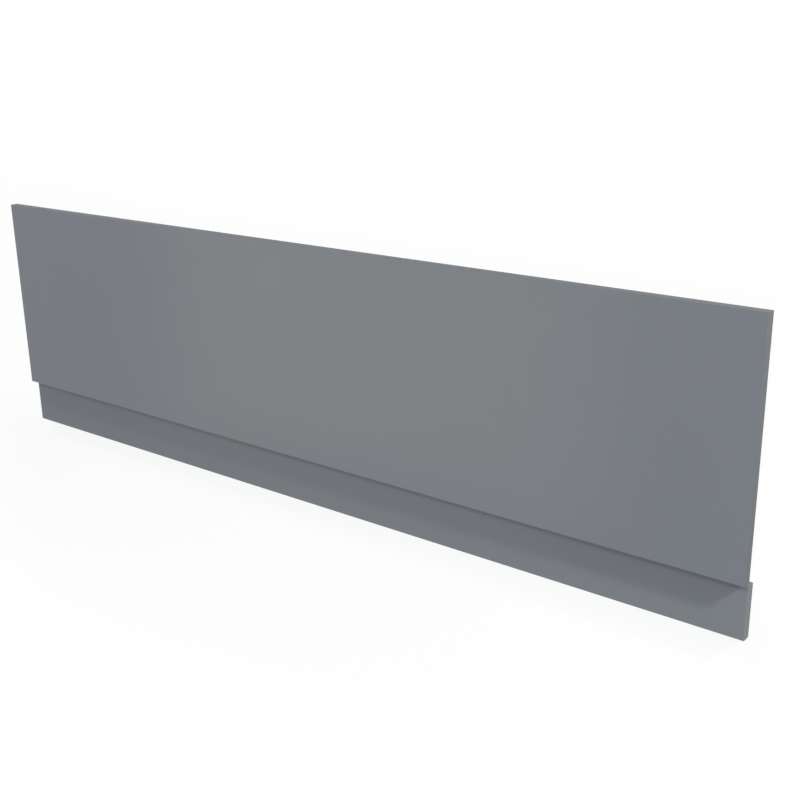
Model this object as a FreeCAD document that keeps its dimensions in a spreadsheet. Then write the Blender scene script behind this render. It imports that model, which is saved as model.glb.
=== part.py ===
# A two-piece bath panel, lying face up on a level floor, in millimetres.
# X runs along the panel, +Y towards its top edge and +Z out of its finished face.
# The origin is on the floor, under the middle of the panel and plinth taken together.
import FreeCAD, Part

import os
from math import pi

import Sketcher
from FreeCAD import Vector

SIZES = [
    ("board_length", 1700.0, "length of the panel and of the plinth, which end flush"),
    ("panel_height", 405.0, "front panel, from its lower edge to its top edge"),
    ("panel_thickness", 16.0, "front panel board"),
    ("plinth_height", 90.0, "plinth board, from the room's floor to its top edge"),
    ("plinth_thickness", 16.0, "plinth board, set back behind the panel"),
    ("plinth_gap", 5.0, "from the panel's lower edge down to the plinth's top edge"),
    ("front_radius", 1.0, "foil-wrapped edge round each board's front face"),
    ("corner_radius", 1.0, "each board's four corners, seen from the front"),
    ("bracket_gauge", 2.0, "sheet steel of the angle brackets"),
    ("bracket_width", 36.0, "bracket, along the panel"),
    ("bracket_tall_leg", 45.0, "leg up the back of the panel, from the plinth's top edge"),
    ("bracket_setback", 1.0, "how far the short leg stops inside the plinth's back"),
    ("bracket_bend", 1.5, "inside radius of the bracket's bend"),
    ("bracket_corner", 4.0, "rounded corners at the ends of both legs"),
    ("bracket_inset", 150.0, "from a board's end to the middle of the nearest bracket"),
    ("slot_width", 4.5, "height-setting slots in the tall leg"),
    ("slot_length", 20.0, "slot from end to end"),
    ("slot_margin", 8.0, "from the slot's upper end to the end of the tall leg"),
    ("slot_spacing", 20.0, "between the two slots of a bracket"),
    ("hole_diameter", 4.5, "screw holes in the short leg"),
    ("hole_spacing", 20.0, "between the two screw holes of a bracket"),
]

# Places of the boards, in the part's frame.
OVERALL_HEIGHT = "(sizes.panel_height + sizes.plinth_gap + sizes.plinth_height)"
PLINTH_BOTTOM = f"(-{OVERALL_HEIGHT} / 2)"
PLINTH_TOP = f"({PLINTH_BOTTOM} + sizes.plinth_height)"
PANEL_BOTTOM = f"({PLINTH_TOP} + sizes.plinth_gap)"
PLINTH_BACK = "0"
PANEL_BACK = "sizes.plinth_thickness"

# The brackets' places along the panel.
OUTER_BRACKET = "(sizes.board_length / 2 - sizes.bracket_inset)"
BRACKETS = [
    ("plinth_bracket_left", f"-{OUTER_BRACKET}"),
    ("plinth_bracket_centre", "0"),
    ("plinth_bracket_right", OUTER_BRACKET),
]

# Places on a bracket, from the corner where the panel's back meets the plinth's top edge.
SHORT_LEG = "(sizes.plinth_thickness - sizes.bracket_setback)"
BEND_OUTSIDE = "(sizes.bracket_gauge + sizes.bracket_bend)"
SLOT_RADIUS = "(sizes.slot_width / 2)"
SLOT_RUN = "(sizes.slot_length - sizes.slot_width)"
SLOT_TOP = f"(sizes.bracket_tall_leg - sizes.slot_margin - {SLOT_RADIUS})"
SLOT_SIDE = "(sizes.slot_spacing / 2)"
HOLE_DEPTH = "(sizes.plinth_thickness / 2)"
HOLE_SIDE = "(sizes.hole_spacing / 2)"

# Points of a sketch's line or arc, and the sketch's own origin and axes.
START, END, CENTRE = 1, 2, 3
ORIGIN = (-1, START)
ACROSS, UP = -1, -2
FACING = Vector(0, 0, 1)
NEAR = 1e-6


def make_sheet(doc):
    """The driving dimensions, one row each: name, value and meaning."""
    sheet = doc.addObject("Spreadsheet::Sheet", "sizes")
    for row, (alias, value, meaning) in enumerate(SIZES, start=1):
        sheet.set(f"A{row}", alias)
        sheet.set(f"B{row}", str(value))
        sheet.setAlias(f"B{row}", alias)
        sheet.set(f"C{row}", meaning)
    doc.recompute()


def origin_plane(body, role):
    return next(f for f in body.Origin.OriginFeatures if f.Role == role)


def new_sketch(body, name, role):
    sketch = body.newObject("Sketcher::SketchObject", name)
    sketch.AttachmentSupport = [(origin_plane(body, role), "")]
    sketch.MapMode = "FlatFace"
    return sketch


def values(sketch, *expressions):
    """What the expressions come to, for drawing the sketch where its dimensions will hold it."""
    return [sketch.evalExpression(expression) for expression in expressions]


def line(sketch, start, end):
    return sketch.addGeometry(Part.LineSegment(Vector(*start, 0), Vector(*end, 0)), False)


def arc(sketch, centre, radius, first, last):
    circle = Part.Circle(Vector(*centre, 0), FACING, radius)
    return sketch.addGeometry(Part.ArcOfCircle(circle, first, last), False)


def tie(sketch, kind, *places):
    return sketch.addConstraint(Sketcher.Constraint(kind, *places))


def bind(sketch, name, expression, kind, *places):
    """A dimension of the sketch, tied to the sheet."""
    number = tie(sketch, kind, *places, sketch.evalExpression(expression))
    sketch.renameConstraint(number, name)
    sketch.setExpression(f"Constraints.{name}", expression)


def place(body, **expressions):
    for axis, expression in expressions.items():
        body.setExpression(f"Placement.Base.{axis}", expression)


def edges_where(shape, test):
    return [f"Edge{i}" for i, edge in enumerate(shape.Edges, start=1) if test(edge)]


def runs_along(edge, direction):
    if not isinstance(edge.Curve, Part.Line):
        return False
    return edge.Curve.Direction.cross(direction).Length < NEAR


def fillet(body, name, base, edges, radius):
    rounded = body.newObject("PartDesign::Fillet", name)
    rounded.Base = (base, edges)
    rounded.setExpression("Radius", radius)
    body.Document.recompute()
    return rounded


def check_removed(before, after):
    """Stops the build if a cut missed the solid."""
    if not after.Shape.Volume < before.Shape.Volume - NEAR:
        raise RuntimeError(f"{after.Name} removes nothing from {before.Name}")


def make_board(doc, label, height, thickness, bottom, back):
    """A board lying face up, with small corners, a wrapped front edge and a sharp back edge."""
    body = doc.addObject("PartDesign::Body", label)
    place(body, y=bottom, z=back)

    outline = new_sketch(body, f"{label}_outline", "XY_Plane")
    length, rise = values(outline, "sizes.board_length", height)
    side = length / 2
    lower = line(outline, (-side, 0), (side, 0))
    right = line(outline, (side, 0), (side, rise))
    upper = line(outline, (side, rise), (-side, rise))
    left = line(outline, (-side, rise), (-side, 0))
    tie(outline, "Coincident", lower, END, right, START)
    tie(outline, "Coincident", right, END, upper, START)
    tie(outline, "Coincident", upper, END, left, START)
    tie(outline, "Coincident", left, END, lower, START)
    tie(outline, "Horizontal", upper)
    tie(outline, "Vertical", right)
    tie(outline, "Vertical", left)
    tie(outline, "Symmetric", lower, START, lower, END, *ORIGIN)
    tie(outline, "Horizontal", lower)
    bind(outline, "length", "sizes.board_length", "DistanceX", lower, START, lower, END)
    bind(outline, "rise", height, "DistanceY", right, START, right, END)

    board = body.newObject("PartDesign::Pad", f"{label}_board")
    board.Profile = outline
    board.setExpression("Length", thickness)
    doc.recompute()

    upright = edges_where(board.Shape, lambda e: runs_along(e, Vector(0, 0, 1)))
    cornered = fillet(body, f"{label}_corners", board, upright, "sizes.corner_radius")

    front = cornered.Shape.BoundBox.ZMax
    rim = edges_where(cornered.Shape, lambda e: e.BoundBox.ZMin > front - NEAR)
    fillet(body, f"{label}_wrapped_edge", cornered, rim, "sizes.front_radius")


def draw_angle(body, name):
    """The bracket's folded section, with its outer faces on the sketch's two axes."""
    sketch = new_sketch(body, name, "YZ_Plane")
    tall, short, gauge, bend, fold = values(
        sketch,
        "sizes.bracket_tall_leg",
        SHORT_LEG,
        "sizes.bracket_gauge",
        "sizes.bracket_bend",
        BEND_OUTSIDE,
    )
    tall_outer = line(sketch, (fold, 0), (tall, 0))
    tall_end = line(sketch, (tall, 0), (tall, -gauge))
    tall_inner = line(sketch, (tall, -gauge), (fold, -gauge))
    inner_bend = arc(sketch, (fold, -fold), bend, pi / 2, pi)
    short_inner = line(sketch, (gauge, -fold), (gauge, -short))
    short_end = line(sketch, (gauge, -short), (0, -short))
    short_outer = line(sketch, (0, -short), (0, -fold))
    outer_bend = arc(sketch, (fold, -fold), fold, pi / 2, pi)

    tie(sketch, "Coincident", tall_outer, END, tall_end, START)
    tie(sketch, "Coincident", tall_end, END, tall_inner, START)
    tie(sketch, "Tangent", tall_inner, END, inner_bend, START)
    tie(sketch, "Tangent", inner_bend, END, short_inner, START)
    tie(sketch, "Coincident", short_inner, END, short_end, START)
    tie(sketch, "Coincident", short_end, END, short_outer, START)
    tie(sketch, "Tangent", short_outer, END, outer_bend, END)
    tie(sketch, "Tangent", outer_bend, START, tall_outer, START)
    tie(sketch, "Coincident", inner_bend, CENTRE, outer_bend, CENTRE)
    tie(sketch, "PointOnObject", tall_outer, END, ACROSS)
    tie(sketch, "PointOnObject", short_outer, START, UP)
    tie(sketch, "Horizontal", tall_outer)
    tie(sketch, "Vertical", short_outer)
    tie(sketch, "Vertical", tall_end)
    tie(sketch, "Horizontal", short_end)
    bind(sketch, "bend", "sizes.bracket_bend", "Radius", inner_bend)
    bind(sketch, "gauge", "sizes.bracket_gauge", "DistanceY", tall_end, END, tall_end, START)
    bind(sketch, "tall", "sizes.bracket_tall_leg", "DistanceX", *ORIGIN, tall_outer, END)
    bind(sketch, "short", SHORT_LEG, "DistanceY", short_outer, START, *ORIGIN)
    return sketch


def draw_slot(body, name):
    """One height-setting slot of the tall leg, to one side of the bracket's middle."""
    sketch = new_sketch(body, name, "XY_Plane")
    radius, run, high, side = values(sketch, SLOT_RADIUS, SLOT_RUN, SLOT_TOP, SLOT_SIDE)
    low = high - run
    upper = arc(sketch, (side, high), radius, 0, pi)
    left = line(sketch, (side - radius, high), (side - radius, low))
    lower = arc(sketch, (side, low), radius, pi, 2 * pi)
    right = line(sketch, (side + radius, low), (side + radius, high))
    tie(sketch, "Tangent", upper, END, left, START)
    tie(sketch, "Tangent", left, END, lower, START)
    tie(sketch, "Tangent", lower, END, right, START)
    tie(sketch, "Tangent", right, END, upper, START)
    tie(sketch, "Vertical", left)
    bind(sketch, "radius", SLOT_RADIUS, "Radius", upper)
    bind(sketch, "run", SLOT_RUN, "DistanceY", lower, CENTRE, upper, CENTRE)
    bind(sketch, "high", SLOT_TOP, "DistanceY", *ORIGIN, upper, CENTRE)
    bind(sketch, "side", SLOT_SIDE, "DistanceX", *ORIGIN, upper, CENTRE)
    return sketch


def draw_hole(body, name):
    """One screw hole of the short leg, over the middle of the plinth's thickness."""
    sketch = new_sketch(body, name, "XZ_Plane")
    diameter, depth, side = values(sketch, "sizes.hole_diameter", HOLE_DEPTH, HOLE_SIDE)
    circle = Part.Circle(Vector(side, -depth, 0), FACING, diameter / 2)
    hole = sketch.addGeometry(circle, False)
    bind(sketch, "diameter", "sizes.hole_diameter", "Diameter", hole)
    bind(sketch, "depth", HOLE_DEPTH, "DistanceY", hole, CENTRE, *ORIGIN)
    bind(sketch, "side", HOLE_SIDE, "DistanceX", *ORIGIN, hole, CENTRE)
    return sketch


def cut_pair(body, name, base, sketch):
    """Cuts the sketch through the bracket, and the same on the other side of its middle."""
    cut = body.newObject("PartDesign::Pocket", name)
    cut.Profile = sketch
    cut.Type = "ThroughAll"
    cut.Reversed = False
    body.Document.recompute()
    check_removed(base, cut)

    pair = body.newObject("PartDesign::Mirrored", f"{name}_pair")
    pair.Originals = [cut]
    pair.MirrorPlane = (origin_plane(body, "YZ_Plane"), [""])
    body.Tip = pair
    body.Document.recompute()
    check_removed(cut, pair)
    return pair


def make_bracket(doc, label, middle):
    """A slotted angle bracket, tall leg on the panel's back and short leg on the plinth's top edge."""
    body = doc.addObject("PartDesign::Body", label)
    place(body, x=middle, y=PLINTH_TOP, z=PANEL_BACK)

    angle = body.newObject("PartDesign::Pad", f"{label}_angle")
    angle.Profile = draw_angle(body, f"{label}_section")
    angle.Midplane = True
    angle.setExpression("Length", "sizes.bracket_width")
    doc.recompute()

    box = angle.Shape.BoundBox
    tall_corners = edges_where(
        angle.Shape,
        lambda e: runs_along(e, Vector(0, 0, 1)) and e.BoundBox.YMin > box.YMax - NEAR,
    )
    short_corners = edges_where(
        angle.Shape,
        lambda e: runs_along(e, Vector(0, 1, 0)) and e.BoundBox.ZMax < box.ZMin + NEAR,
    )
    corners = tall_corners + short_corners
    blank = fillet(body, f"{label}_corners", angle, corners, "sizes.bracket_corner")
    slotted = cut_pair(body, f"{label}_slot", blank, draw_slot(body, f"{label}_slot_outline"))
    cut_pair(body, f"{label}_hole", slotted, draw_hole(body, f"{label}_hole_outline"))


def check(doc, bodies):
    """Stops the build if a feature failed or a piece isn't one sound solid."""
    failed = [o.Name for o in doc.Objects if {"Invalid", "Error"} & set(o.State)]
    if failed:
        raise RuntimeError(f"these features failed: {failed}")
    for body in bodies:
        shape = body.Shape
        if shape.isNull() or not shape.isValid() or len(shape.Solids) != 1:
            raise RuntimeError(f"{body.Label} is not one sound solid")


def main():
    doc = FreeCAD.newDocument("bath_panel")
    make_sheet(doc)
    make_board(
        doc, "front_panel", "sizes.panel_height", "sizes.panel_thickness", PANEL_BOTTOM, PANEL_BACK
    )
    make_board(
        doc, "plinth_board", "sizes.plinth_height", "sizes.plinth_thickness", PLINTH_BOTTOM, PLINTH_BACK
    )
    for label, middle in BRACKETS:
        make_bracket(doc, label, middle)
    doc.recompute()

    bodies = [o for o in doc.Objects if o.TypeId == "PartDesign::Body"]
    check(doc, bodies)
    os.makedirs("parts", exist_ok=True)
    for body in bodies:
        body.Shape.exportStep(f"parts/{body.Label}.step")
        box = body.Shape.BoundBox
        print(f"{body.Label}: {box.XLength:.1f} x {box.YLength:.1f} x {box.ZLength:.1f} mm")


main()
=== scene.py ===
from math import cos, pi, radians, sin

import bmesh
import bpy
from mathutils import Matrix, Vector


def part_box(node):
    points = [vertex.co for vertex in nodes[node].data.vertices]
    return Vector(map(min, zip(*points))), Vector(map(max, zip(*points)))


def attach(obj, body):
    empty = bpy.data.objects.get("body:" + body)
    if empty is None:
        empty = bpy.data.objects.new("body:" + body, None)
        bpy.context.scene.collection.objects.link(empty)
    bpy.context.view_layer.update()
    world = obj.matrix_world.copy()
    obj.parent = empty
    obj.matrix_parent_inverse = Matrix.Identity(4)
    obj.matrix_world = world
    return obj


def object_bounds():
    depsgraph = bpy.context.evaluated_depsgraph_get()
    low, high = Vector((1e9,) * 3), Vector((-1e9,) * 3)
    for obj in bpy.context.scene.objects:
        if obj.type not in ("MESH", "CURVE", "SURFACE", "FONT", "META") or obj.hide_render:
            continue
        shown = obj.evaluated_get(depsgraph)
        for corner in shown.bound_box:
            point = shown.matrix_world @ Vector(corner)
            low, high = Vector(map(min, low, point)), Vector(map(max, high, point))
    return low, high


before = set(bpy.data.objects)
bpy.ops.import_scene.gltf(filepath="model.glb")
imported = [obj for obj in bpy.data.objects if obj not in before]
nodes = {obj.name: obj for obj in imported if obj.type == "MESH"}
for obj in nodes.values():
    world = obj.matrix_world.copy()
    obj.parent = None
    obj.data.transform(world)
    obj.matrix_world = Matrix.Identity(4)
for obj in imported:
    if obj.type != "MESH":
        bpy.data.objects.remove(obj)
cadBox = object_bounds()
scene = bpy.context.scene
scene.view_settings.view_transform = "Standard"
mm = 0.001  # sizes below are written in millimetres, the scene is in metres
print("frame loaded:", ", ".join(sorted(nodes)))


# small helpers for shader trees

fullRange = (0.0, 1.0)
noiseRange = (0.25, 0.75)  # where most of a noise texture's values lie

# a Mix node has one set of sockets for each kind of data, told apart only by number
numberMix = {"kind": "FLOAT", "first": 2, "second": 3, "result": 0}
colourMix = {"kind": "RGBA", "first": 6, "second": 7, "result": 2}


def addNode(tree, kind, **settings):
    node = tree.nodes.new(kind)
    for name, value in settings.items():
        setattr(node, name, value)
    return node


def feed(tree, socket, source):
    # source is another node's output, or a plain number or colour
    if isinstance(source, bpy.types.NodeSocket):
        tree.links.new(source, socket)
    else:
        socket.default_value = source


def calc(tree, operation, first, second=0.0):
    node = addNode(tree, "ShaderNodeMath", operation=operation)
    feed(tree, node.inputs[0], first)
    feed(tree, node.inputs[1], second)
    return node.outputs[0]


def vectorCalc(tree, operation, first, second=(0, 0, 0)):
    node = addNode(tree, "ShaderNodeVectorMath", operation=operation)
    feed(tree, node.inputs[0], first)
    feed(tree, node.inputs[1], second)
    return node.outputs


def splitAxes(tree, vector):
    node = addNode(tree, "ShaderNodeSeparateXYZ")
    feed(tree, node.inputs[0], vector)
    return node.outputs


def remap(tree, value, fromRange, toRange):
    node = addNode(tree, "ShaderNodeMapRange")
    feed(tree, node.inputs["Value"], value)
    node.inputs["From Min"].default_value, node.inputs["From Max"].default_value = fromRange
    node.inputs["To Min"].default_value, node.inputs["To Max"].default_value = toRange
    return node.outputs["Result"]


def mix(tree, sockets, factor, first, second):
    node = addNode(tree, "ShaderNodeMix", data_type=sockets["kind"])
    feed(tree, node.inputs["Factor"], factor)
    feed(tree, node.inputs[sockets["first"]], first)
    feed(tree, node.inputs[sockets["second"]], second)
    return node.outputs[sockets["result"]]


def mixColour(tree, factor, first, second):
    return mix(tree, colourMix, factor, first, second)


def mixValue(tree, factor, first, second):
    return mix(tree, numberMix, factor, first, second)


def mixShader(tree, factor, first, second):
    node = addNode(tree, "ShaderNodeMixShader")
    feed(tree, node.inputs[0], factor)
    tree.links.new(first, node.inputs[1])
    tree.links.new(second, node.inputs[2])
    return node.outputs[0]


def rgba(colour, scale=1.0):
    return (*(scale * c for c in colour), 1.0)


def mottle(tree, factor, colour, spread):
    # the colour drifts by this share, darker and lighter
    return mixColour(tree, factor, rgba(colour, 1.0 - spread), rgba(colour, 1.0 + spread))


def newMaterial(name):
    material = bpy.data.materials.new(name)
    material.use_nodes = True
    tree = material.node_tree
    shader = tree.nodes["Principled BSDF"]
    place = addNode(tree, "ShaderNodeTexCoord").outputs["Object"]
    return material, tree, shader, place


# one shared effect: broad tone, fine grain and a relief made of both

unevenDetail = {"Patch Scale": 2.0, "Grain Scale": 3.0}  # how many finer layers each noise has


def makeUnevenSurface():
    tree = bpy.data.node_groups.new("unevenSurface", "ShaderNodeTree")
    for name, kind in (
        ("Vector", "NodeSocketVector"),
        ("Patch Scale", "NodeSocketFloat"),
        ("Grain Scale", "NodeSocketFloat"),
        ("Patch Share", "NodeSocketFloat"),
    ):
        tree.interface.new_socket(name=name, in_out="INPUT", socket_type=kind)
    for name in ("Tone", "Grain", "Height"):
        tree.interface.new_socket(name=name, in_out="OUTPUT", socket_type="NodeSocketFloat")
    given = addNode(tree, "NodeGroupInput")
    out = addNode(tree, "NodeGroupOutput")
    patch = addNode(tree, "ShaderNodeTexNoise")
    grain = addNode(tree, "ShaderNodeTexNoise")
    for texture, scale in ((patch, "Patch Scale"), (grain, "Grain Scale")):
        feed(tree, texture.inputs["Vector"], given.outputs["Vector"])
        feed(tree, texture.inputs["Scale"], given.outputs[scale])
        texture.inputs["Detail"].default_value = unevenDetail[scale]
    feed(tree, out.inputs["Tone"], patch.outputs["Fac"])
    feed(tree, out.inputs["Grain"], grain.outputs["Fac"])
    relief = mixValue(tree, given.outputs["Patch Share"], grain.outputs["Fac"], patch.outputs["Fac"])
    feed(tree, out.inputs["Height"], relief)
    return tree


unevenSurface = makeUnevenSurface()


def addUneven(tree, place, patchScale, grainScale, patchShare):
    node = addNode(tree, "ShaderNodeGroup", node_tree=unevenSurface)
    feed(tree, node.inputs["Vector"], place)
    node.inputs["Patch Scale"].default_value = patchScale
    node.inputs["Grain Scale"].default_value = grainScale
    node.inputs["Patch Share"].default_value = patchShare
    return node.outputs


def addBump(tree, shader, height, depth):
    bump = addNode(tree, "ShaderNodeBump")
    bump.inputs["Distance"].default_value = depth
    feed(tree, bump.inputs["Height"], height)
    feed(tree, shader.inputs["Normal"], bump.outputs["Normal"])


# gloss grey foil on both boards, with a white backing sheet on the hidden face

foilBoard = {
    "grey": (0.149, 0.161, 0.179),
    "toneSpread": 0.02,        # how far the grey drifts over the board
    "roughness": (0.19, 0.25),
    "edgeRoughness": 0.6,      # the foil loses its gloss where it is pulled round an edge
    "paintedEdgeShade": 0.8,           # painted shade: the grey is made darker on the top and lower edges
    "paintedEndShade": 0.68,           # and darker still on the ends, to hold down the light they catch; also painted shade
    "edgeReach": 0.3 * mm,
    "shine": 0.38,
    "rippleScale": 14.0,       # waves of the pressed board under the foil, per metre
    "peelScale": 420.0,        # orange peel of the foil, per metre
    "rippleShare": 0.6,
    "reliefDepth": 0.05 * mm,
    "backing": (0.66, 0.65, 0.62),
    "backingSpread": 0.04,
    "backingThickness": 0.35 * mm,
    "backingRoughness": 0.55,
}


def makeFoilBoard(name, nodeName, use=foilBoard):
    material, tree, shader, place = newMaterial(name)
    low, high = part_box(nodeName)
    axes = splitAxes(tree, place)
    uneven = addUneven(tree, place, use["rippleScale"], use["peelScale"], use["rippleShare"])
    foil = mottle(tree, uneven["Tone"], use["grey"], use["toneSpread"])
    gloss = remap(tree, uneven["Grain"], noiseRange, use["roughness"])

    # how far a point is inside the board's outline, seen from the front
    fromEnds = calc(tree, "SUBTRACT", (high.x - low.x) / 2, calc(tree, "ABSOLUTE", axes["X"]))
    fromTop = calc(tree, "SUBTRACT", high.y, axes["Y"])
    fromFoot = calc(tree, "SUBTRACT", axes["Y"], low.y)
    inside = calc(tree, "MINIMUM", fromEnds, calc(tree, "MINIMUM", fromTop, fromFoot))
    isEdge = calc(tree, "LESS_THAN", inside, use["edgeReach"])
    isEnd = calc(tree, "LESS_THAN", fromEnds, use["edgeReach"])
    gloss = mixValue(tree, isEdge, gloss, use["edgeRoughness"])
    # painted shade: the edges, and the ends more, take a darker grey than the face
    foil = mixColour(tree, isEdge, foil, rgba(use["grey"], use["paintedEdgeShade"]))
    foil = mixColour(tree, isEnd, foil, rgba(use["grey"], use["paintedEndShade"]))

    # the backing sheet shows on the back and as a thin line round the board's rear edge
    isBack = calc(tree, "LESS_THAN", axes["Z"], low.z + use["backingThickness"])
    sheet = mottle(tree, uneven["Grain"], use["backing"], use["backingSpread"])
    feed(tree, shader.inputs["Base Color"], mixColour(tree, isBack, foil, sheet))
    feed(tree, shader.inputs["Roughness"], mixValue(tree, isBack, gloss, use["backingRoughness"]))
    shader.inputs["Specular IOR Level"].default_value = use["shine"]
    addBump(tree, shader, uneven["Height"], use["reliefDepth"])
    nodes[nodeName].material_slots[0].material = material


for nodeName in ("front_panel", "plinth_board"):
    makeFoilBoard("greyFoil_" + nodeName, nodeName)
print("boards: gloss grey foil, white backing")


# zinc-plated pressed steel of the angle brackets, rolled along the panel's length

zincSteel = {
    "bright": (0.66, 0.68, 0.70),
    "dull": (0.50, 0.52, 0.55),
    "toneRange": (0.3, 0.7),   # from dull to bright over these values of the broad noise
    "roughness": (0.28, 0.46),
    "rollStretch": (0.12, 1.0, 1.0),
    "patchScale": 60.0,
    "grainScale": 900.0,
    "patchShare": 0.3,
    "reliefDepth": 0.02 * mm,
}


def makeZincSteel(name, use=zincSteel):
    material, tree, shader, place = newMaterial(name)
    stretch = addNode(tree, "ShaderNodeMapping")
    feed(tree, stretch.inputs["Vector"], place)
    stretch.inputs["Scale"].default_value = use["rollStretch"]
    rolled = stretch.outputs["Vector"]
    uneven = addUneven(tree, rolled, use["patchScale"], use["grainScale"], use["patchShare"])
    tone = remap(tree, uneven["Tone"], use["toneRange"], fullRange)
    feed(tree, shader.inputs["Base Color"], mixColour(tree, tone, rgba(use["dull"]), rgba(use["bright"])))
    feed(tree, shader.inputs["Roughness"], remap(tree, uneven["Grain"], noiseRange, use["roughness"]))
    shader.inputs["Metallic"].default_value = 1.0
    addBump(tree, shader, uneven["Height"], use["reliefDepth"])
    return material


bracketZinc = makeZincSteel("bracketZinc")
screwZinc = makeZincSteel(
    "screwZinc", {**zincSteel, "bright": (0.74, 0.75, 0.76), "rollStretch": (1.0, 1.0, 1.0)}
)
brackets = [name for name in sorted(nodes) if name.startswith("plinth_bracket_")]
for name in brackets:
    nodes[name].material_slots[0].material = bracketZinc
print("brackets: zinc-plated steel")


# cross-head screws: two in the slots of each bracket and two in the plinth's top edge

screw = {
    "headRadius": 4.0 * mm,
    "flangeHeight": 0.7 * mm,
    "flangeRim": ((0.97, 0.75), (1.0, 0.45), (0.98, 0.0)),  # shares of the two above, from the top down
    "domeRadius": 3.0 * mm,
    "domeHeight": 1.5 * mm,
    "domeSteps": 6,
    "turnSteps": 32,
    "recessSpan": 3.6 * mm,
    "recessWidth": 0.9 * mm,
    "recessDepth": 1.5 * mm,
    "recessFoot": (0.45, 0.7, 1.0),  # the foot of each wedge against its top
    "shankRadius": 1.3 * mm,
    "tipLength": 3.0 * mm,
    "threadRadius": 1.75 * mm,
    "threadPitch": 1.6 * mm,
    "threadStart": 2.0 * mm,         # under the head
    "threadFoot": 0.3,               # half the ridge's foot, as a share of the pitch
    "threadSink": 0.95,              # where the foot lies, as a share of the shank's radius
    "threadSteps": 16,               # in each turn
    "mergeDistance": 0.001 * mm,
    "smoothAngle": 35.0,             # degrees, a sharper edge stays crisp
    "slotLength": 13.0 * mm,         # screw length under the head, into the panel's back
    "edgeLength": 25.0 * mm,         # and into the plinth's top edge
}
onAxis, upright = (0, 0, 0), (0, 0, 1)


def meshObject(shape, name):
    mesh = bpy.data.meshes.new(name)
    shape.to_mesh(mesh)
    shape.free()
    obj = bpy.data.objects.new(name, mesh)
    scene.collection.objects.link(obj)
    return obj


def makeHeadAndShank(name, length, use=screw):
    # a closed turned solid from (radius, height) points that start and end on the axis
    quarter = [pi / 2 * i / use["domeSteps"] for i in range(use["domeSteps"] + 1)]
    dome = [
        (use["domeRadius"] * sin(angle), use["flangeHeight"] + use["domeHeight"] * cos(angle))
        for angle in quarter
    ]
    flange = [(across * use["headRadius"], up * use["flangeHeight"]) for across, up in use["flangeRim"]]
    shank = [
        (use["shankRadius"], 0),
        (use["shankRadius"], use["tipLength"] - length),
        (0, -length),
    ]
    shape = bmesh.new()
    rim = [shape.verts.new((radius, 0, height)) for radius, height in dome + flange + shank]
    edges = [shape.edges.new(pair) for pair in zip(rim, rim[1:])]
    bmesh.ops.spin(
        shape,
        geom=rim + edges,
        cent=onAxis,
        axis=upright,
        angle=2 * pi,
        steps=use["turnSteps"],
        use_merge=True,
    )
    bmesh.ops.remove_doubles(shape, verts=shape.verts, dist=use["mergeDistance"])
    bmesh.ops.recalc_face_normals(shape, faces=shape.faces)
    return meshObject(shape, name)


def makeRecessCutter(use=screw):
    # two crossed wedges, narrower at the foot
    shape = bmesh.new()
    top = use["flangeHeight"] + use["domeHeight"]
    for turn in (0, pi / 2):
        bar = bmesh.ops.create_cube(shape, size=1.0)["verts"]
        bmesh.ops.scale(
            shape, verts=bar, vec=(use["recessSpan"], use["recessWidth"], 2 * use["recessDepth"])
        )
        foot = [v for v in bar if v.co.z < 0]
        bmesh.ops.scale(shape, verts=foot, vec=use["recessFoot"])
        bmesh.ops.rotate(shape, verts=bar, cent=onAxis, matrix=Matrix.Rotation(turn, 3, "Z"))
        bmesh.ops.translate(shape, verts=bar, vec=(0, 0, top))
    return meshObject(shape, "recessCutter")


def cutRecess(body):
    # gives the mesh that is left, and clears away the two solids it came from
    cutter = makeRecessCutter()
    cut = body.modifiers.new("driveRecess", "BOOLEAN")
    cut.object = cutter
    cut.operation = "DIFFERENCE"
    cut.solver = "EXACT"
    cut.use_self = True  # the two wedges cross each other
    view = bpy.context.evaluated_depsgraph_get()
    mesh = bpy.data.meshes.new_from_object(body.evaluated_get(view))
    for spare in (body, cutter):
        bpy.data.objects.remove(spare)
    return mesh


def windThread(mesh, length, use=screw):
    # the thread is a ridge wound round the shank
    shape = bmesh.new()
    shape.from_mesh(mesh)
    bmesh.ops.remove_doubles(shape, verts=shape.verts, dist=use["mergeDistance"])
    turns = int((length - use["tipLength"] - use["threadStart"]) / use["threadPitch"])
    steps = turns * use["threadSteps"]
    foot = use["threadPitch"] * use["threadFoot"]
    sunk = use["shankRadius"] * use["threadSink"]
    start = -use["threadStart"]
    corners = ((sunk, 0, start + foot), (use["threadRadius"], 0, start), (sunk, 0, start - foot))
    ridge = [shape.verts.new(corner) for corner in corners]
    edges = [shape.edges.new(pair) for pair in zip(ridge, ridge[1:] + ridge[:1])]
    bmesh.ops.spin(
        shape,
        geom=ridge + edges,
        cent=onAxis,
        axis=upright,
        dvec=(0, 0, -turns * use["threadPitch"] / steps),
        angle=2 * pi * turns,
        steps=steps,
    )
    bmesh.ops.holes_fill(shape, edges=[e for e in shape.edges if e.is_boundary], sides=len(ridge))
    bmesh.ops.recalc_face_normals(shape, faces=shape.faces)
    shape.to_mesh(mesh)
    shape.free()


def makeScrewMesh(name, length, use=screw):
    # the head's seat is at height 0, the drive faces up and the point is at -length
    mesh = cutRecess(makeHeadAndShank(name, length))
    windThread(mesh, length)
    mesh.shade_smooth()
    mesh.set_sharp_from_angle(angle=radians(use["smoothAngle"]))
    mesh.materials.clear()
    mesh.materials.append(screwZinc)
    return mesh


def placeScrew(name, mesh, seat, facing, turn):
    # each screw keeps its place in its own mesh
    own = mesh.copy()
    own.name = name
    aim = Vector(upright).rotation_difference(facing).to_matrix().to_4x4()
    own.transform(Matrix.Translation(seat) @ aim @ Matrix.Rotation(turn, 4, "Z"))
    obj = bpy.data.objects.new(name, own)
    scene.collection.objects.link(obj)
    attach(obj, "root")


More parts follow.
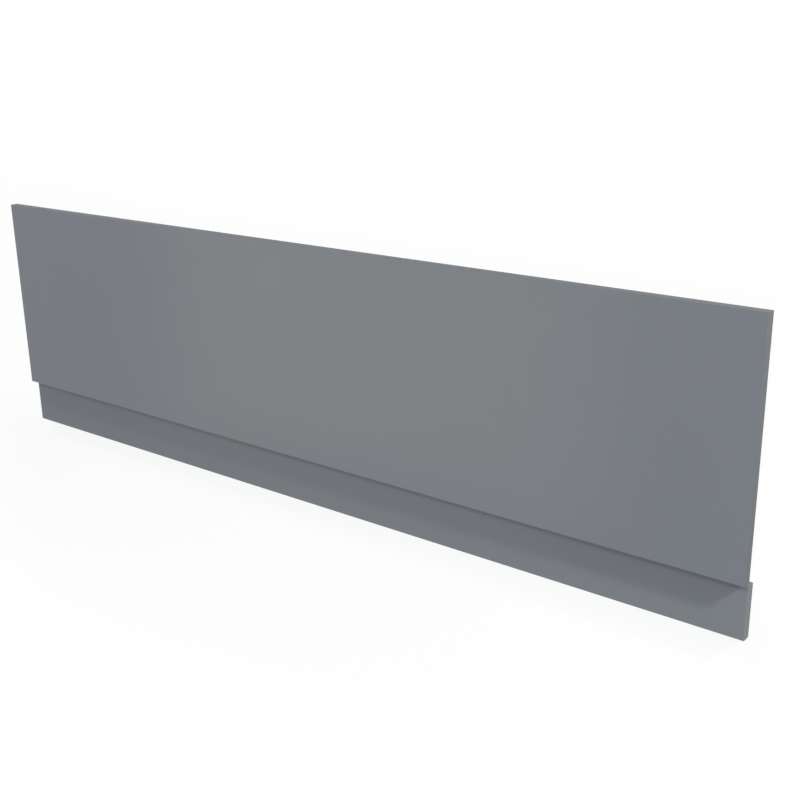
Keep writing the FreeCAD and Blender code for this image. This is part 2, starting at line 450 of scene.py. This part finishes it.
bracketFit = {
    "gauge": 2.0 * mm,
    "slotFromEnd": 18.0 * mm,  # slot's middle, from the end of the tall leg
    "sideStep": 10.0 * mm,     # slots and holes, from the bracket's middle
    "bracketTurn": 40,         # degrees from one bracket's screws to the next
    "screwTurn": 65,           # and from one screw to the other, so that no two stop at the same angle
}

slotScrew = makeScrewMesh("slotScrew", screw["slotLength"])
edgeScrew = makeScrewMesh("edgeScrew", screw["edgeLength"])
plinthLow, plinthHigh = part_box("plinth_board")
plinthMiddle = (plinthLow.z + plinthHigh.z) / 2
for index, name in enumerate(brackets):
    low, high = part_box(name)
    side = name.rsplit("_", 1)[1]
    middle = (low.x + high.x) / 2
    for number, step in enumerate((-bracketFit["sideStep"], bracketFit["sideStep"]), start=1):
        turn = radians(bracketFit["bracketTurn"] * index + bracketFit["screwTurn"] * number)
        behind = Vector((middle + step, high.y - bracketFit["slotFromEnd"], high.z - bracketFit["gauge"]))
        above = Vector((middle + step, low.y + bracketFit["gauge"], plinthMiddle))
        placeScrew(f"slot_screw_{side}_{number}", slotScrew, behind, Vector((0, 0, -1)), turn)
        placeScrew(f"edge_screw_{side}_{number}", edgeScrew, above, Vector((0, 1, 0)), 2 * turn)
print("screws: four on each bracket")


# white floor that keeps a soft shadow, white surroundings

studio = {
    "floorSize": 14.0,
    "floorBounce": 0.4,           # how much light the floor gives back to the panel
    "floorWhite": 0.95,           # how it looks
    "frontShare": 0.79,           # share of plain white in front of the plinth, where the shadow shows
    "sideShare": 0.92,            # and beside the other edges
    "frontFade": (-0.3, -0.2),    # the one share gives way to the other over this stretch of Y
    "shadowReach": (0.05, 0.6),   # the shadow fades out between these distances from the panel
    "paintedShadowDepth": (0.008, 0.03),  # painted shadow: the floor is drawn dark under the panel, this far in from its outline
    "paintedShadowGrey": 0.04,
    "skyZenith": (0.0, 0.0, 0.0),
    "skyHorizon": (1.09, 1.15, 1.25),
}


def seenRay(tree):
    # 1 for rays that show the background: straight from the camera, in a reflection or through glass
    path = addNode(tree, "ShaderNodeLightPath").outputs
    glossy = calc(tree, "MAXIMUM", path["Is Glossy Ray"], path["Is Transmission Ray"])
    return calc(tree, "MAXIMUM", path["Is Camera Ray"], glossy)


def makeFloor(use=studio):
    shape = bmesh.new()
    bmesh.ops.create_grid(shape, x_segments=1, y_segments=1, size=use["floorSize"] / 2)
    floor = meshObject(shape, "floor")
    material = bpy.data.materials.new("whiteFloor")
    material.use_nodes = True
    tree = material.node_tree
    tree.nodes.clear()
    path = addNode(tree, "ShaderNodeLightPath").outputs
    seen = seenRay(tree)

    # distances from the panel's outline, outwards and inwards
    half = (cadBox[1].x, cadBox[1].y, 0)
    place = addNode(tree, "ShaderNodeTexCoord").outputs["Object"]
    beside = vectorCalc(tree, "SUBTRACT", vectorCalc(tree, "ABSOLUTE", place)["Vector"], half)["Vector"]
    away = vectorCalc(tree, "LENGTH", vectorCalc(tree, "MAXIMUM", beside)["Vector"])["Value"]
    axes = splitAxes(tree, beside)
    depth = calc(tree, "MULTIPLY", calc(tree, "MAXIMUM", axes["X"], axes["Y"]), -1.0)
    # painted shadow: seen by the camera, the floor under the panel takes a dark grey and loses its white
    # glow
    under = calc(tree, "MULTIPLY", remap(tree, depth, use["paintedShadowDepth"], fullRange), path["Is Camera Ray"])

    bounce, white, dark = (rgba((use[key],) * 3) for key in ("floorBounce", "floorWhite", "paintedShadowGrey"))
    matte = addNode(tree, "ShaderNodeBsdfDiffuse")
    feed(tree, matte.inputs["Color"], mixColour(tree, under, mixColour(tree, seen, bounce, white), dark))

    # plain white takes over away from the panel
    spot = splitAxes(tree, place)
    near = remap(tree, spot["Y"], use["frontFade"], (use["frontShare"], use["sideShare"]))
    share = mixValue(tree, remap(tree, away, use["shadowReach"], fullRange), near, 1.0)
    share = calc(tree, "MULTIPLY", share, calc(tree, "SUBTRACT", 1.0, under))
    glow = addNode(tree, "ShaderNodeEmission")
    lit = mixShader(tree, calc(tree, "MULTIPLY", seen, share), matte.outputs[0], glow.outputs[0])

    # seen from below the floor is clear, and the lamp under it shines through
    side = addNode(tree, "ShaderNodeNewGeometry").outputs
    clear = addNode(tree, "ShaderNodeBsdfTransparent")
    through = calc(tree, "MAXIMUM", side["Backfacing"], path["Is Shadow Ray"])
    out = addNode(tree, "ShaderNodeOutputMaterial")
    tree.links.new(mixShader(tree, through, lit, clear.outputs[0]), out.inputs["Surface"])
    floor.data.materials.append(material)


def makeSky(use=studio):
    world = bpy.data.worlds.new("studioSky")
    scene.world = world
    world.use_nodes = True
    tree = world.node_tree
    tree.nodes.clear()
    height = splitAxes(tree, addNode(tree, "ShaderNodeTexCoord").outputs["Generated"])["Z"]
    tint = mixColour(tree, height, rgba(use["skyHorizon"]), rgba(use["skyZenith"]))
    dome = addNode(tree, "ShaderNodeBackground")
    feed(tree, dome.inputs["Color"], tint)
    feed(tree, dome.inputs["Strength"], calc(tree, "GREATER_THAN", height, 0.0))
    white = addNode(tree, "ShaderNodeBackground")
    white.inputs["Color"].default_value = (1, 1, 1, 1)
    out = addNode(tree, "ShaderNodeOutputWorld")
    sky = mixShader(tree, seenRay(tree), dome.outputs[0], white.outputs[0])
    tree.links.new(sky, out.inputs["Surface"])


makeFloor()
makeSky()

keyStand = {"place": (2.38, 1.36, 0.43), "aim": (0.3, 0.0, 0.03), "size": (0.3, 0.12)}
overheadStand = {"place": (1.0, -0.9, 2.4), "aim": (0.2, 0.0, 0.03), "size": (1.6, 1.6)}
softboxes = {
    "bandCard": {  # only its reflection counts: the lighter band across the panel
        "place": (-1.55, -0.43, 2.03),
        "aim": (-1.55, -0.43, 0.0),
        "size": (2.23, 1.57),
        "watts": 9.5,
        "colour": (1.0, 1.0, 0.6),
        "reflected": True,
    },
    "lowKey": {
        **keyStand,
        "watts": 42.0,
        "colour": (1.0, 1.0, 0.9),
    },
    "plinthKey": {  # deepens the panel's shadow on the plinth, and spares the panel's narrow edges
        **keyStand,
        "watts": 34.0,
        "colour": (1.0, 1.0, 0.82),
        "lightsOnly": "plinth_board",
    },
    "overhead": {
        **overheadStand,
        "watts": 18.6,
    },
    "panelOverhead": {
        **overheadStand,
        "watts": 21.0,
        "skips": "plinth_board",
    },
    "farTop": {
        "place": (0.4, 2.6, 1.5),
        "aim": (0.0, 0.0, 0.03),
        "size": (2.4, 0.5),
        "watts": 7.0,
        "skips": "plinth_board",
    },
    "plinthTop": {
        "place": (0.9, 1.9, 2.3),
        "aim": (0.2, -0.2, 0.02),
        "size": (1.6, 0.6),
        "watts": 33.9,
        "lightsOnly": "plinth_board",
    },
    "midLeft": {
        "place": (-1.2, 1.9, 0.85),
        "aim": (-0.4, 0.0, 0.03),
        "size": (1.2, 0.3),
        "watts": 20.9,
        "skips": "plinth_board",
    },
    "underside": {  # below the floor, for a look at the back
        "place": (0.0, 0.0, -1.5),
        "aim": (0.0, 0.0, 0.0),
        "size": (1.4, 0.4),
        "watts": 22.0,
    },
}


def linkLight(lamp, nodeName, state):
    # state INCLUDE lights this piece alone, EXCLUDE lights all but this piece
    group = bpy.data.collections.new(lamp.name + "Link")
    group.objects.link(nodes[nodeName])
    group.collection_objects[0].light_linking.link_state = state
    lamp.light_linking.receiver_collection = group


def makeSoftbox(name, use):
    lamp = bpy.data.lights.new(name, "AREA")
    lamp.shape = "RECTANGLE"
    lamp.size, lamp.size_y = use["size"]
    lamp.energy = use["watts"]
    lamp.color = use.get("colour", (1, 1, 1))
    obj = bpy.data.objects.new(name, lamp)
    scene.collection.objects.link(obj)
    place = Vector(use["place"])
    obj.location = place
    obj.rotation_euler = (Vector(use["aim"]) - place).to_track_quat("-Z", "Y").to_euler()
    obj.visible_camera = False
    obj.visible_glossy = use.get("reflected", False)
    obj.visible_diffuse = not obj.visible_glossy
    if "lightsOnly" in use:
        linkLight(obj, use["lightsOnly"], "INCLUDE")
    if "skips" in use:
        linkLight(obj, use["skips"], "EXCLUDE")


for name, use in softboxes.items():
    makeSoftbox(name, use)
print("studio: floor, sky,", ", ".join(softboxes))


# the photograph's viewpoint, as if the panel stood upright and the camera was turned with it

viewpoint = {
    "place": (1.375, 0.626, 1.490),
    "yaw": -38.22,   # degrees from straight at the panel's face, to the left
    "pitch": 18.43,  # degrees down
    "roll": -0.86,
    "focalPixels": 1147.0,
    "imagePixels": 800.0,
    "sensorWidth": 36.0,
}


def makeCamera(use=viewpoint):
    yaw, pitch, roll = (radians(use[key]) for key in ("yaw", "pitch", "roll"))
    across, inward, upward = Vector((1, 0, 0)), Vector((0, 0, -1)), Vector((0, 1, 0))
    level = across * sin(yaw) + inward * cos(yaw)
    ahead = level * cos(pitch) - upward * sin(pitch)
    right = ahead.cross(upward).normalized()
    top = right.cross(ahead)
    tiltedRight = right * cos(roll) + top * sin(roll)
    tiltedTop = top * cos(roll) - right * sin(roll)
    lens = bpy.data.cameras.new("photoView")
    lens.sensor_width = use["sensorWidth"]
    lens.lens = use["focalPixels"] / use["imagePixels"] * use["sensorWidth"]
    camera = bpy.data.objects.new("photoView", lens)
    scene.collection.objects.link(camera)
    turn = Matrix((tiltedRight, tiltedTop, -ahead)).transposed()
    camera.matrix_world = Matrix.Translation(use["place"]) @ turn.to_4x4()
    scene.camera = camera


makeCamera()
print("camera set")
